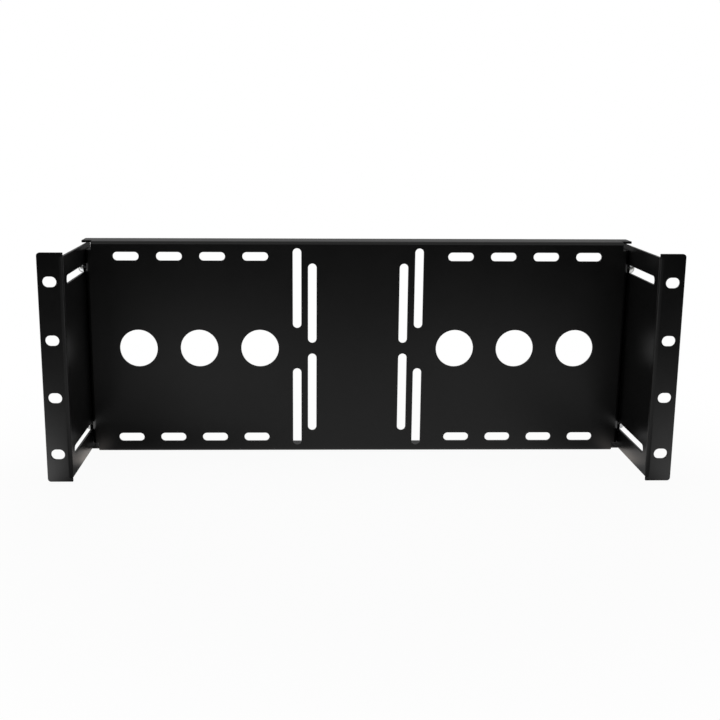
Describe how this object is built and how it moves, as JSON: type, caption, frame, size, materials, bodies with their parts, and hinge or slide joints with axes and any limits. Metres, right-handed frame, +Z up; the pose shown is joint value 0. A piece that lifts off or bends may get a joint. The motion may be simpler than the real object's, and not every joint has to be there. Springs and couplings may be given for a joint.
{
  "type": "rack mount bracket",
  "caption": "Folded steel bracket that holds a flat screen in a rack: a slotted panel between two eared side plates, clamped by screws in slots that set its depth.",
  "frame": {"origin": "middle of the rack slots, on the front face of the ears", "axes": "+X to the right seen from the front, +Y back into the rack, +Z up"},
  "size_m": [0.4826, 0.1053, 0.177],
  "materials": {
    "powder_coat": "satin black powder coat on sheet steel",
    "zinc_plate": "bright zinc plate"
  },
  "bodies": {
    "rack_brackets": {"left_side_bracket": "powder_coat", "right_side_bracket": "powder_coat"},
    "panel": {"mounting_panel": "powder_coat", "clinch_nuts": "zinc_plate", "clamp_washers": "zinc_plate", "clamp_screws": "zinc_plate"}
  },
  "joints": [
    {"name": "depth_slide", "type": "slide", "parent": "rack_brackets", "child": "panel", "axis": [0, 1, 0], "range_m": [-0.07375, 0.005]}
  ]
}
